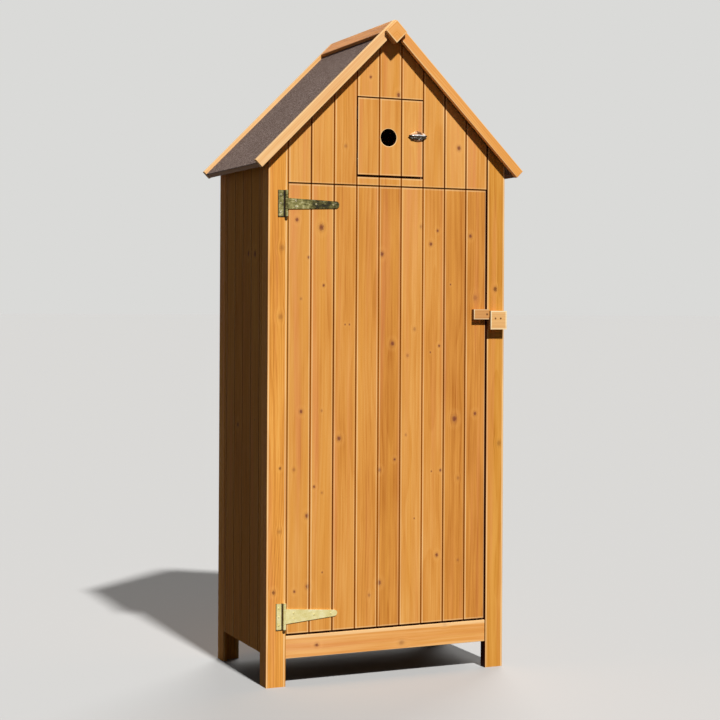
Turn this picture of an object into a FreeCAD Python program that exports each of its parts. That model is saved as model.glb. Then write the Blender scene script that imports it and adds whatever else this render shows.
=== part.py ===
import FreeCAD, Part
import math
import os

# Tall garden tool cabinet with a steep gable roof, in millimetres.
# X runs to the right seen from the front, Y runs from the front to the back, Z is up.
# The origin is on the ground, under the middle of the whole cabinet with its roof.

Vector = FreeCAD.Vector

# Matchboard: tongued and grooved boards with a small vee at each joint
board_cover = 64.0
board_thick = 12.0
board_gap = 1.0
board_vee = 1.5
least_ripped_board = 12.0
tongue_reach = 4.0
tongue_thick = 4.0
tongue_play = 0.4

# Body
front_boards = 9
post_width = 53.5
post_thick = 22.0
leg_side_width = 46.0
body_depth = 382.0
side_bottom = 83.0
rail_bottom = 71.5
rail_height = 57.5
rail_thick = 18.0

# Door and gable, upwards from the bottom rail
door_foot_gap = 5.0
door_height = 1156.0
door_head_gap = 2.5
door_side_gap = 1.5
sill_height = 22.0
flap_foot_gap = 4.5
flap_height = 202.5
flap_head_gap = 2.0
flap_side_gap = 1.0
flap_board_count = 3
stop_gap = 0.5
stop_lap = 8.0

# Roof
roof_width = 770.0
roof_pitch = math.radians(45.0)
roof_rise_at_wall = 97.5
roof_overhang = 11.5
barge_width = 25.0
barge_thick = 13.0
barge_proud = 9.0
felt_thick = 2.0
panel_thick = 12.0
cap_width = 54.0
cap_thick = 9.0
cap_planed = 3.0
barge_gap = 46.0
ridge_block_side = 42.5
ridge_block_proud = 12.5
ridge_block_drop = 5.0

# Inner timbers
batten_thick = 18.0
batten_height = 28.0
rafter_depth = 20.0
rafter_thick = 25.0
eave_plate_height = 40.0
header_lap = 15.0
header_inset = 2.5
jamb_width = 24.0
jamb_thick = 16.0
flap_head_height = 30.0
ledge_height = 40.0
ledge_thick = 18.0
ledge_inset = 18.0
flap_ledge_height = 28.0
flap_ledge_thick = 12.0
flap_ledge_margin = 4.0
flap_ledge_from_end = 14.0

# Shelves and floor
shelf_thick = 12.0
slat_count = 5
slat_gap = 4.0
shelf_front_gap = 3.5
shelf_play = 1.0
floor_level = 124.0
lower_bay_height = 364.0
middle_bay_height = 368.0
loft_level_above_sill = 1.0

# Strap hinges of the door
hinge_pin_radius = 2.2
hinge_bore_play = 0.05
knuckle_radius = 4.2
knuckle_back_gap = 0.6
knuckle_end_gap = 0.3
hinge_from_seam = 5.0
leaf_thick = 2.0
leaf_lift = 0.2
plate_reach = 22.5
plate_height = 68.0
pin_head_radius = 2.8
pin_head_height = 0.5
strap_length = 147.0
upper_hinge_below_door_top = 52.0
upper_strap_root = 28.0
upper_strap_tip = 18.0
lower_hinge_above_door_foot = 46.0
lower_strap_root = 38.0
lower_strap_tip = 16.0
plate_screw_inset = 8.0
plate_screw_spacing = 22.0
strap_screw_places = ((26.0, 7.5), (26.0, -7.5), (82.0, 0.0), (130.0, 0.0))

# Screws
screw_head_radius = 2.7
screw_head_height = 0.9
screw_shank_radius = 1.5
screw_grip = 13.0
cross_length = 3.4
cross_width = 0.8
cross_depth = 0.6

# Sliding wooden latch
latch_below_door_top = 348.0
latch_bar_length = 46.0
latch_bar_height = 27.0
latch_bar_depth = 13.5
latch_bar_back_gap = 0.3
latch_travel = 11.5
latch_rest_gap = 0.5
latch_play = 0.5
latch_end_wall = 8.0
runner_neck = 10.0
runner_face = 15.0
runner_depth = 8.0
runner_play = 0.4
block_width = 49.0
block_height = 50.0
block_depth = 22.0
block_inset = 1.8
block_below_bar = 27.0
stop_screw_inset = 6.0
stop_screw_radius = 1.75
stop_screw_head = 3.0
stop_screw_head_depth = 2.0
stop_screw_end_gap = 2.0
block_screw_wall = 1.5
block_screw_spacing = 16.0
block_screw_level = 29.5
block_screw_sunk = 1.5
block_screw_bite = 14.0

# Flap hinges, turn catch and round hole
flap_knuckle_radius = 1.6
flap_pin_radius = 0.8
flap_knuckle_back_gap = 0.3
flap_leaf_thick = 0.6
flap_leaf_depth = 9.0
flap_leaf_height = 34.0
flap_hinge_from_end = 41.0
hole_radius = 22.7
hole_offset = -5.5
hole_above_flap_middle = -0.75
hole_chamfer = 1.0
catch_inset = 18.0
catch_above_flap_middle = 7.0
rose_length = 30.0
rose_height = 28.0
rose_thick = 3.0
rose_round = 1.2
handle_length = 40.0
handle_middle_radius = 3.8
handle_end_radius = 3.0
handle_stand_off = 1.5
eye_length = 55.0
eye_height = 22.0
eye_thick = 2.0
eye_gap = 0.5
stem_radius = 4.5
spindle_radius = 3.5
spindle_play = 0.08
spindle_hole_play = 1.0
cam_lap = 20.0
cam_width = 10.0
cam_thick = 3.0
cam_play = 0.5
nut_radius = 5.5
nut_thick = 4.0
spindle_end = 1.5

# Places that follow from the sizes above
opening_half = front_boards * board_cover / 2.0
body_half = opening_half + post_width
ridge_reach = roof_overhang + barge_thick + ridge_block_proud
front_reach = max(ridge_reach, block_depth)
rear_reach = roof_overhang + barge_thick
front_y = -(body_depth + rear_reach - front_reach) / 2.0
back_y = front_y + body_depth
mid_y = (front_y + back_y) / 2.0
rail_top = rail_bottom + rail_height
door_bottom = rail_top + door_foot_gap
door_top = door_bottom + door_height
gable_bottom = door_top + door_head_gap
sill_top = gable_bottom + sill_height
flap_bottom = sill_top + flap_foot_gap
flap_top = flap_bottom + flap_height
upper_bottom = flap_top + flap_head_gap
apex_z = door_top + roof_rise_at_wall + body_half * math.tan(roof_pitch)
slope_length = roof_width / 2.0 / math.cos(roof_pitch)
ridge_block_half = ridge_block_side / math.sqrt(2.0)
ridge_block_middle = apex_z - ridge_block_drop - ridge_block_half
felt_under = barge_proud + felt_thick
panel_under = felt_under + panel_thick
rafter_under = panel_under + rafter_depth
flap_first = (front_boards - flap_board_count) // 2
flap_left = -opening_half + flap_first * board_cover
flap_right = flap_left + flap_board_count * board_cover
flap_middle = (flap_left + flap_right) / 2.0
panel_front = front_y - roof_overhang
panel_back = back_y + roof_overhang
board_back = front_y + board_thick
loft_level = sill_top + loft_level_above_sill
lower_shelf_level = floor_level + lower_bay_height + shelf_thick
upper_shelf_level = lower_shelf_level + middle_bay_height + shelf_thick
shelf_levels = (lower_shelf_level, upper_shelf_level, loft_level)
shelf_front = board_back + max(ledge_thick, stop_gap + batten_thick) + shelf_front_gap
shelf_back = back_y - post_thick - shelf_play
inner_half = body_half - board_thick
hinge_x = -opening_half - hinge_from_seam
hinge_y = front_y - knuckle_radius - knuckle_back_gap
flap_hinge_y = front_y - flap_knuckle_radius - flap_knuckle_back_gap
hole_x = flap_middle + hole_offset
hole_z = (flap_bottom + flap_top) / 2.0 + hole_above_flap_middle
catch_x = flap_right - catch_inset
catch_z = (flap_bottom + flap_top) / 2.0 + catch_above_flap_middle
cam_reach = catch_inset - stop_lap + cam_lap
cam_front = board_back + stop_gap + jamb_thick + cam_play
stem_back = front_y - rose_thick - spindle_play
handle_y = stem_back - handle_stand_off - handle_middle_radius
upper_hinge_level = door_top - upper_hinge_below_door_top
lower_hinge_level = door_bottom + lower_hinge_above_door_foot
latch_level = door_top - latch_below_door_top
block_left = opening_half + block_inset
bar_right = block_left - latch_rest_gap
bar_left = bar_right - latch_bar_length
bar_mid_z = latch_level + latch_bar_height / 2.0
block_bottom = latch_level - block_below_bar
notch_reach = latch_travel - latch_rest_gap + latch_play
ledge_levels = (lower_hinge_level, (lower_hinge_level + upper_hinge_level) / 2.0, upper_hinge_level)
beyond = 50.0


def box(x0, x1, y0, y1, z0, z1):
    return Part.makeBox(x1 - x0, y1 - y0, z1 - z0, Vector(x0, y0, z0))


def prism_up(points, z0, z1):
    """A prism with its outline in plan, from z0 up to z1."""
    corners = [Vector(x, y, z0) for x, y in points]
    face = Part.Face(Part.makePolygon(corners + corners[:1]))
    return face.extrude(Vector(0, 0, z1 - z0))


def prism_back(points, y0, y1):
    """A prism with its outline seen from the front, from y0 back to y1."""
    corners = [Vector(x, y0, z) for x, z in points]
    face = Part.Face(Part.makePolygon(corners + corners[:1]))
    return face.extrude(Vector(0, y1 - y0, 0))


def prism_across(points, x0, x1):
    """A prism with its outline seen from the side, from x0 to x1."""
    corners = [Vector(x0, y, z) for y, z in points]
    face = Part.Face(Part.makePolygon(corners + corners[:1]))
    return face.extrude(Vector(x1 - x0, 0, 0))


def rod_up(radius, x, y, z0, z1):
    return Part.makeCylinder(radius, z1 - z0, Vector(x, y, z0), Vector(0, 0, 1))


def rod_back(radius, x, z, y0, y1):
    return Part.makeCylinder(radius, y1 - y0, Vector(x, y0, z), Vector(0, 1, 0))


def save(node, solids):
    shape = solids[0] if len(solids) == 1 else Part.makeCompound(solids)
    shape.exportStep(os.path.join("parts", node + ".step"))


def roof_point(side, down, deep):
    """A point down the slope from the ridge line and that deep below the barge tops."""
    x = down * math.cos(roof_pitch) - deep * math.sin(roof_pitch)
    z = apex_z - down * math.sin(roof_pitch) - deep * math.cos(roof_pitch)
    return (side * x, z)


def plumb_down(x, deep):
    """How far down the slope the plumb line at x crosses that depth."""
    return (x + deep * math.sin(roof_pitch)) / math.cos(roof_pitch)


def roof_strip(side, deep0, deep1, plumb_x, down_end, y0, y1):
    """A sloping strip with a plumb cut at the ridge and a square cut at its foot."""
    outline = [roof_point(side, plumb_down(plumb_x, deep0), deep0),
               roof_point(side, down_end, deep0),
               roof_point(side, down_end, deep1),
               roof_point(side, plumb_down(plumb_x, deep1), deep1)]
    return prism_back(outline, y0, y1)


def roof_z(x, deep):
    """Height of the roof plane of that depth at a distance x from the middle."""
    return apex_z - deep / math.cos(roof_pitch) - abs(x) * math.tan(roof_pitch)


def under_roof(deep):
    """Everything below the roof plane of that depth."""
    side = roof_width
    outline = [(0.0, roof_z(0.0, deep)), (side, roof_z(side, deep)), (side, -beyond - side),
               (-side, -beyond - side), (-side, roof_z(side, deep))]
    return prism_back(outline, front_y - beyond, back_y + beyond)


def cut_to_roof(solids):
    limit = under_roof(panel_under)
    return [solid.common(limit) for solid in solids]


def matchboard(x0, x1, z0, z1, groove, tongue):
    """One board with its face at y = 0 towards the front, from edge x0 to edge x1."""
    mid = board_thick / 2.0
    half = tongue_thick / 2.0
    wide = half + tongue_play / 2.0
    outline = [(x0 + board_vee, 0.0), (x1 - board_vee, 0.0), (x1, board_vee)]
    if tongue:
        tip = x1 + board_gap + tongue_reach
        outline += [(x1, mid - half), (tip, mid - half), (tip, mid + half), (x1, mid + half)]
    outline += [(x1, board_thick), (x0, board_thick)]
    if groove:
        bottom = x0 + tongue_reach + tongue_play
        outline += [(x0, mid + wide), (bottom, mid + wide), (bottom, mid - wide), (x0, mid - wide)]
    outline += [(x0, board_vee)]
    return prism_up(outline, z0, z1)


def board_row(first, count, z0, z1, left_gap, right_gap):
    """Boards side by side, from column `first` of the front, joined by their tongues."""
    boards = []
    for i in range(count):
        left = -opening_half + (first + i) * board_cover
        at_left = i == 0
        at_right = i == count - 1
        x0 = left + (left_gap if at_left else board_gap / 2.0)
        x1 = left + board_cover - (right_gap if at_right else board_gap / 2.0)
        boards.append(matchboard(x0, x1, z0, z1, not at_left, not at_right))
    return boards


def put(solid, angle, x, y):
    """Turn a solid about the vertical and carry it to x, y."""
    moved = solid.copy()
    moved.rotate(Vector(0, 0, 0), Vector(0, 0, 1), angle)
    moved.translate(Vector(x, y, 0))
    return moved


def on_front(solids):
    return [put(solid, 0.0, 0.0, front_y) for solid in solids]


def drill(solid, tools):
    for tool in tools:
        solid = solid.cut(tool)
    return solid


# Screws

def cross_slots(x, y, z):
    """The two crossed slots in a screw's face at y."""
    slots = []
    for across, along in ((cross_length, cross_width), (cross_width, cross_length)):
        slots.append(box(x - across / 2.0, x + across / 2.0, y - cross_depth, y + cross_depth,
                         z - along / 2.0, z + along / 2.0))
    return slots


def screw(x, y, z, length):
    """A cross-head screw driven towards the back, its head standing on the plane y."""
    head = rod_back(screw_head_radius, x, z, y - screw_head_height, y)
    rim = [edge for edge in head.Edges if abs(edge.BoundBox.YMax - (y - screw_head_height)) < 0.01]
    head = head.makeChamfer(screw_head_height / 2.0, rim)
    head = drill(head, cross_slots(x, y - screw_head_height, z))
    return head.fuse(rod_back(screw_shank_radius, x, z, y, y + length))


def plate_screw_spots():
    spots = []
    for level in (upper_hinge_level, lower_hinge_level):
        for step in (-1, 0, 1):
            x = hinge_x - plate_reach + plate_screw_inset
            spots.append((x, level + step * plate_screw_spacing))
    return spots


def strap_screw_spots():
    spots = []
    for level in (upper_hinge_level, lower_hinge_level):
        for along, up in strap_screw_places:
            spots.append((hinge_x + along, level + up))
    return spots


def block_screw_spots():
    first = block_left + notch_reach + block_screw_wall + screw_shank_radius
    level = block_bottom + block_screw_level
    return [(first, level), (first + block_screw_spacing, level)]


def leaf_screws(spots, leaf_front):
    return [screw(x, leaf_front, z, screw_grip) for x, z in spots]


def leaf_shanks(spots, leaf_front):
    end = leaf_front + screw_grip
    return [rod_back(screw_shank_radius, x, z, leaf_front, end) for x, z in spots]


plate_front = front_y - leaf_thick
strap_front = front_y - leaf_lift - leaf_thick
block_front = front_y - block_depth
block_screw_end = front_y + block_screw_bite
block_screw_seat = block_front + block_screw_sunk
plate_shanks = leaf_shanks(plate_screw_spots(), plate_front)
strap_shanks = leaf_shanks(strap_screw_spots(), strap_front)
block_shanks = [rod_back(screw_shank_radius, x, z, block_screw_seat, block_screw_end)
                for x, z in block_screw_spots()]


# Frame of the body

def front_post(side):
    x0, x1 = sorted((side * opening_half, side * body_half))
    post = box(x0, x1, front_y, front_y + post_thick, 0.0, apex_z)
    return drill(cut_to_roof([post])[0], plate_shanks + block_shanks)


def rear_post(side):
    x0, x1 = sorted((side * opening_half, side * body_half))
    return cut_to_roof([box(x0, x1, back_y - post_thick, back_y, 0.0, apex_z)])[0]


def side_stiles(side):
    """The narrow boards that make each leg an angle, front and rear."""
    x0, x1 = sorted((side * inner_half, side * body_half))
    front = box(x0, x1, front_y + post_thick, front_y + leg_side_width, 0.0, apex_z)
    rear = box(x0, x1, back_y - leg_side_width, back_y - post_thick, 0.0, apex_z)
    return cut_to_roof([front, rear])


def bottom_rails():
    front = box(-opening_half, opening_half, front_y, front_y + rail_thick, rail_bottom, rail_top)
    rear = box(-opening_half, opening_half, back_y - rail_thick, back_y, rail_bottom, rail_top)
    return front, rear


def side_wall(side):
    """Whole boards in the middle of the wall and a narrow ripped board at each end."""
    half = body_depth / 2.0 - leg_side_width
    count = int((2.0 * half - 2.0 * least_ripped_board) // board_cover)
    whole = count * board_cover / 2.0
    edges = [-half] + [-whole + i * board_cover for i in range(count + 1)] + [half]
    boards = []
    for i in range(len(edges) - 1):
        at_left = i == 0
        at_right = i == len(edges) - 2
        x0 = edges[i] + (0.0 if at_left else board_gap / 2.0)
        x1 = edges[i + 1] - (0.0 if at_right else board_gap / 2.0)
        board = matchboard(x0, x1, side_bottom, apex_z, not at_left, not at_right)
        boards.append(put(board, side * 90.0, side * body_half, mid_y))
    return cut_to_roof(boards)


def back_wall():
    boards = board_row(0, front_boards, rail_top, apex_z, board_gap / 2.0, board_gap / 2.0)
    return cut_to_roof([put(board, 180.0, 0.0, back_y) for board in boards])


def back_battens():
    y1 = back_y - board_thick
    battens = []
    for level in shelf_levels:
        top = level - shelf_thick
        battens.append(box(-opening_half, opening_half, y1 - batten_thick, y1, top - batten_height, top))
    return battens


def side_batten_pair(top):
    y0 = front_y + post_thick
    y1 = back_y - post_thick
    pair = []
    for side in (-1, 1):
        x0, x1 = sorted((side * (inner_half - batten_thick), side * inner_half))
        pair.append(box(x0, x1, y0, y1, top - batten_height, top))
    return pair


def side_battens():
    battens = []
    for level in (floor_level,) + shelf_levels:
        battens += side_batten_pair(level - shelf_thick)
    return battens


def eave_plates():
    """Top timbers of the side walls, bevelled to the roof."""
    inner = inner_half - batten_thick
    bottom = roof_z(inner, panel_under) - eave_plate_height
    plates = []
    for side in (-1, 1):
        x0, x1 = sorted((side * inner, side * inner_half))
        plates.append(box(x0, x1, front_y + post_thick, back_y - post_thick, bottom, apex_z))
    return cut_to_roof(plates)


def slats(level, y0, y1):
    width = (y1 - y0 - (slat_count - 1) * slat_gap) / slat_count
    half = inner_half - shelf_play
    row = []
    for i in range(slat_count):
        start = y0 + i * (width + slat_gap)
        row.append(box(-half, half, start, start + width, level - shelf_thick, level))
    return row


def floor_slats():
    clear = max(post_thick, rail_thick) + shelf_play
    return slats(floor_level, front_y + clear, back_y - clear)


# Gable

def header_rail():
    """Rail behind the head of the door, which closes against it."""
    y0 = board_back + stop_gap
    top = sill_top - header_inset
    behind = box(-opening_half, opening_half, y0, y0 + batten_thick, door_top - header_lap, top)
    lip = box(-opening_half, opening_half, board_back, y0, gable_bottom, top)
    return behind.fuse(lip).removeSplitter()


def rafters():
    """A pair behind the front gable and a pair before the back wall."""
    pairs = []
    for side in (-1, 1):
        foot = side * opening_half
        outline = [(0.0, roof_z(0.0, panel_under)), (foot, roof_z(foot, panel_under)),
                   (foot, roof_z(foot, rafter_under)), (0.0, roof_z(0.0, rafter_under))]
        for y0 in (board_back, back_y - board_thick - rafter_thick):
            pairs.append(prism_back(outline, y0, y0 + rafter_thick))
    return pairs


def gable_side_boards(first, count, left_gap, right_gap):
    row = board_row(first, count, gable_bottom, apex_z, left_gap, right_gap)
    return cut_to_roof(on_front(row))


def gable_middle_boards():
    edge = board_gap / 2.0
    sill = board_row(flap_first, flap_board_count, gable_bottom, sill_top, edge, edge)
    upper = board_row(flap_first, flap_board_count, upper_bottom, apex_z, edge, edge)
    return cut_to_roof(on_front(sill + upper))


def flap_frame():
    """Two jambs and a head behind the fixed boards, which the flap closes against."""
    left = flap_left + stop_lap
    right = flap_right - stop_lap
    y0 = board_back + stop_gap
    y1 = y0 + jamb_thick
    foot = sill_top - header_inset
    limit = under_roof(rafter_under)
    pieces = []
    for edge, side, fixed_edge in ((left, -1, flap_left - board_gap), (right, 1, flap_right + board_gap)):
        far = edge + side * jamb_width
        x0, x1 = sorted((edge, far))
        lip0, lip1 = sorted((fixed_edge, far))
        jamb = box(x0, x1, y0, y1, foot, apex_z)
        lip = box(lip0, lip1, board_back, y0, foot, apex_z)
        pieces.append(jamb.fuse(lip).removeSplitter().common(limit))
    top = flap_top - stop_lap + flap_head_height
    head = box(left, right, y0, y1, flap_top - stop_lap, top)
    head_lip = box(left, right, board_back, y0, upper_bottom, top)
    pieces.append(head.fuse(head_lip).removeSplitter())
    return pieces


# Roof

def planed():
    """Everything below the flat that is planed along the ridge."""
    return box(-roof_width, roof_width, front_y - beyond, back_y + beyond, 0.0, apex_z - cap_planed)


def roof_panel(side):
    return roof_strip(side, felt_under, panel_under, 0.0, slope_length, panel_front, panel_back)


def roof_felt():
    left, right = [roof_strip(side, barge_proud, felt_under, 0.0, slope_length, panel_front, panel_back)
                   for side in (-1, 1)]
    return left.fuse(right).removeSplitter()


def front_barge(side):
    """Mitred at the ridge; its end is cut back plumb below the middle of the ridge block."""
    y0 = panel_front - barge_thick
    half = barge_gap / 2.0
    strip = roof_strip(side, 0.0, barge_width, 0.0, slope_length, y0, panel_front)
    cut_back = box(-half, half, y0, panel_front, 0.0, ridge_block_middle)
    return strip.cut(cut_back).common(planed())


def ridge_block():
    """A square block set on its corner, rebated behind its face round the ends of the barges."""
    half = ridge_block_half
    mid = ridge_block_middle
    outline = [(0.0, mid + half), (half, mid), (0.0, mid - half), (-half, mid)]
    block = prism_back(outline, front_y - ridge_reach, panel_front)
    return drill(block, [front_barge(-1), front_barge(1)])


def rear_barge(side):
    strip = roof_strip(side, 0.0, barge_width, 0.0, slope_length, panel_back, panel_back + barge_thick)
    return strip.common(planed())


def ridge_cap(side):
    strip = roof_strip(side, barge_proud - cap_thick, barge_proud, 0.0, cap_width, panel_front, panel_back)
    return strip.common(planed())


# Door

def door_boards():
    row = board_row(0, front_boards, door_bottom, door_top, door_side_gap, door_side_gap)
    return [drill(board, strap_shanks) for board in on_front(row)]


def door_ledge(mid_z):
    half = opening_half - ledge_inset
    bottom = mid_z - ledge_height / 2.0
    return box(-half, half, board_back, board_back + ledge_thick, bottom, bottom + ledge_height)


def knuckle(z0, z1):
    return rod_up(knuckle_radius, hinge_x, hinge_y, z0, z1)


def hinge_bore(level):
    radius = hinge_pin_radius + hinge_bore_play
    return rod_up(radius, hinge_x, hinge_y, level - plate_height, level + plate_height)


def hinge_plate(level, root):
    """Fixed leaf of a strap hinge, with a knuckle above and below the strap's own."""
    bottom = level - plate_height / 2.0
    top = level + plate_height / 2.0
    below = level - root / 2.0 - knuckle_end_gap
    above = level + root / 2.0 + knuckle_end_gap
    leaf = box(hinge_x - plate_reach, hinge_x, plate_front, front_y, bottom, top)
    clear = knuckle_radius + 2.0 * knuckle_end_gap
    leaf = leaf.cut(box(hinge_x - clear, hinge_x + clear, plate_front, front_y, below, above))
    body = leaf.fuse([knuckle(bottom, below), knuckle(above, top)]).cut(hinge_bore(level))
    return drill(body, plate_shanks)


def hinge_strap(level, root, tip):
    """Moving leaf: a middle knuckle and a tapered strap with a round end."""
    end = hinge_x + strap_length - tip / 2.0
    taper_start = hinge_x + knuckle_radius + hinge_from_seam / 2.0
    y = strap_front
    outline = [Vector(end, y, level - tip / 2.0), Vector(taper_start, y, level - root / 2.0),
               Vector(hinge_x, y, level - root / 2.0), Vector(hinge_x, y, level + root / 2.0),
               Vector(taper_start, y, level + root / 2.0), Vector(end, y, level + tip / 2.0)]
    edges = [Part.LineSegment(a, b).toShape() for a, b in zip(outline, outline[1:])]
    middle = Vector(hinge_x + strap_length, y, level)
    edges.append(Part.Arc(outline[-1], middle, outline[0]).toShape())
    leaf = Part.Face(Part.Wire(edges)).extrude(Vector(0, leaf_thick, 0))
    barrel = knuckle(level - root / 2.0, level + root / 2.0)
    return drill(leaf.fuse(barrel).cut(hinge_bore(level)), strap_shanks)


def hinge_pin(level):
    half = plate_height / 2.0
    pin = rod_up(hinge_pin_radius, hinge_x, hinge_y, level - half, level + half)
    head = rod_up(pin_head_radius, hinge_x, hinge_y, level + half, level + half + pin_head_height)
    foot = rod_up(pin_head_radius, hinge_x, hinge_y, level - half - pin_head_height, level - half)
    return pin.fuse([head, foot])


# Sliding latch

def runner_outline(play):
    """Dovetail section of the runner, wider away from the door."""
    neck = runner_neck / 2.0 + play
    face = runner_face / 2.0 + play
    front = front_y - runner_depth - play
    return [(front_y, bar_mid_z - neck), (front_y, bar_mid_z + neck),
            (front, bar_mid_z + face), (front, bar_mid_z - face)]


def latch_runner():
    start = bar_left + latch_end_wall + latch_travel + latch_play
    end = bar_right - stop_screw_inset - stop_screw_radius - latch_play
    return prism_across(runner_outline(0.0), start, end)


def stop_screw_solid():
    """Countersunk screw through the bar, which keeps the bar on its runner."""
    x = bar_right - stop_screw_inset
    front = front_y - latch_bar_depth
    head = Part.makeCone(stop_screw_head, stop_screw_radius, stop_screw_head_depth,
                         Vector(x, front, bar_mid_z), Vector(0, 1, 0))
    return head.fuse(rod_back(stop_screw_radius, x, bar_mid_z, front + stop_screw_head_depth,
                              front_y - stop_screw_end_gap))


def latch_stop_screw():
    x = bar_right - stop_screw_inset
    front = front_y - latch_bar_depth
    return drill(stop_screw_solid(), cross_slots(x, front, bar_mid_z))


def latch_bar():
    front = front_y - latch_bar_depth
    back = front_y - latch_bar_back_gap
    bar = box(bar_left, bar_right, front, back, latch_level, latch_level + latch_bar_height)
    groove = prism_across(runner_outline(runner_play), bar_left + latch_end_wall, bar_right + beyond)
    return bar.cut(groove).cut(stop_screw_solid())


def latch_block():
    block = box(block_left, block_left + block_width, block_front, front_y,
                block_bottom, block_bottom + block_height)
    notch_front = front_y - latch_bar_depth - latch_play
    notch = box(block_left - beyond, block_left + notch_reach, notch_front, front_y + beyond,
                latch_level - latch_play, latch_level + block_height)
    wells = [rod_back(screw_head_radius, x, z, block_front, block_screw_seat) for x, z in block_screw_spots()]
    return drill(block.cut(notch), wells + block_shanks)


def block_screws():
    length = block_screw_end - block_screw_seat
    return [screw(x, block_screw_seat, z, length) for x, z in block_screw_spots()]


# Flap

def spindle_hole():
    radius = spindle_radius + spindle_hole_play
    return rod_back(radius, catch_x, catch_z, front_y - beyond, front_y + beyond)


def round_hole():
    hole = rod_back(hole_radius, hole_x, hole_z, front_y - beyond, front_y + beyond)
    rim = Part.makeCone(hole_radius + hole_chamfer, hole_radius, hole_chamfer,
                        Vector(hole_x, front_y, hole_z), Vector(0, 1, 0))
    return hole.fuse(rim)


def flap_boards():
    row = board_row(flap_first, flap_board_count, flap_bottom, flap_top, flap_side_gap, flap_side_gap)
    return [drill(board, [round_hole(), spindle_hole()]) for board in on_front(row)]


def flap_ledges():
    left = flap_left + stop_lap + flap_ledge_margin
    right = flap_right - stop_lap - flap_ledge_margin
    lower = flap_bottom + flap_ledge_from_end
    upper = flap_top - stop_lap - flap_ledge_from_end - flap_ledge_height
    y1 = board_back + flap_ledge_thick
    return [box(left, right, board_back, y1, z0, z0 + flap_ledge_height) for z0 in (lower, upper)]


def flap_hinge_levels():
    return (flap_bottom + flap_hinge_from_end, flap_top - flap_hinge_from_end)


def flap_hinge_part(level, moving):
    """One leaf on the edge of a board with its knuckles; the moving one has the middle knuckle."""
    half = flap_leaf_height / 2.0
    third = flap_leaf_height / 6.0
    if moving:
        x0 = flap_left + flap_side_gap - flap_leaf_thick
        spans = [(level - third + knuckle_end_gap, level + third - knuckle_end_gap)]
    else:
        x0 = flap_left - board_gap / 2.0
        spans = [(level - half, level - third), (level + third, level + half)]
    x1 = x0 + flap_leaf_thick
    barrels = [rod_up(flap_knuckle_radius, flap_left, flap_hinge_y, z0, z1) for z0, z1 in spans]
    webs = [box(x0, x1, flap_hinge_y, front_y, z0, z1) for z0, z1 in spans]
    leaf = box(x0, x1, front_y, front_y + flap_leaf_depth, level - half, level + half)
    radius = flap_pin_radius + hinge_bore_play
    bore = rod_up(radius, flap_left, flap_hinge_y, level - half - beyond, level + half + beyond)
    return leaf.fuse(webs + barrels).removeSplitter().cut(bore)


def flap_hinge_pin(level):
    half = flap_leaf_height / 2.0
    return rod_up(flap_pin_radius, flap_left, flap_hinge_y, level - half, level + half)


# Turn catch

def catch_rose():
    """Oval plate on the flap, with a rounded front edge and a bore for the spindle."""
    long_half = rose_length / 2.0
    short_half = rose_height / 2.0
    middle = Vector(catch_x, front_y, catch_z)
    oval = Part.Ellipse(middle + Vector(long_half, 0, 0), middle + Vector(0, 0, short_half), middle)
    plate = Part.Face(Part.Wire([oval.toShape()])).extrude(Vector(0, -rose_thick, 0))
    rim = [edge for edge in plate.Edges if abs(edge.BoundBox.YMax - (front_y - rose_thick)) < 0.01]
    plate = plate.makeChamfer(rose_round, rim)
    bore = rod_back(spindle_radius + spindle_play, catch_x, catch_z, front_y - beyond, front_y + beyond)
    return plate.cut(bore)


def handle_eye():
    """Eye-shaped plate behind the cross bar, with its points left and right."""
    y = stem_back - eye_gap
    left, right = [Vector(catch_x + side * eye_length / 2.0, y, catch_z) for side in (-1, 1)]
    top, bottom = [Vector(catch_x, y, catch_z + side * eye_height / 2.0) for side in (1, -1)]
    edges = [Part.Arc(left, top, right).toShape(), Part.Arc(right, bottom, left).toShape()]
    return Part.Face(Part.Wire(edges)).extrude(Vector(0, -eye_thick, 0))


def catch_handle():
    """Cross bar, eye plate, stem and spindle, cast as one piece."""
    collar = rod_back(stem_radius, catch_x, catch_z, handle_y, stem_back)
    end = cam_front + cam_thick + nut_thick + spindle_end
    spindle = rod_back(spindle_radius, catch_x, catch_z, handle_y, end)
    reach = handle_length / 2.0 - handle_end_radius
    middle = Vector(catch_x, handle_y, catch_z)
    pieces = [spindle, handle_eye()]
    for side in (-1, 1):
        outwards = Vector(side, 0, 0)
        pieces.append(Part.makeCone(handle_middle_radius, handle_end_radius, reach, middle, outwards))
        pieces.append(Part.makeSphere(handle_end_radius, middle + outwards * reach))
    return collar.fuse(pieces)


def catch_cam():
    """Flat cam on the spindle inside, hanging down while the catch is undone."""
    bar = box(catch_x - cam_width / 2.0, catch_x + cam_width / 2.0, cam_front, cam_front + cam_thick,
              catch_z - cam_reach, catch_z)
    boss = rod_back(cam_width / 2.0, catch_x, catch_z, cam_front, cam_front + cam_thick)
    bore = rod_back(spindle_radius, catch_x, catch_z, front_y, back_y)
    return bar.fuse(boss).removeSplitter().cut(bore)


def catch_nut():
    y0 = cam_front + cam_thick
    corners = [(catch_x + nut_radius * math.cos(math.radians(60 * i)),
                catch_z + nut_radius * math.sin(math.radians(60 * i))) for i in range(6)]
    nut = prism_back(corners, y0, y0 + nut_thick)
    return nut.cut(rod_back(spindle_radius, catch_x, catch_z, front_y, back_y))


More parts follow.
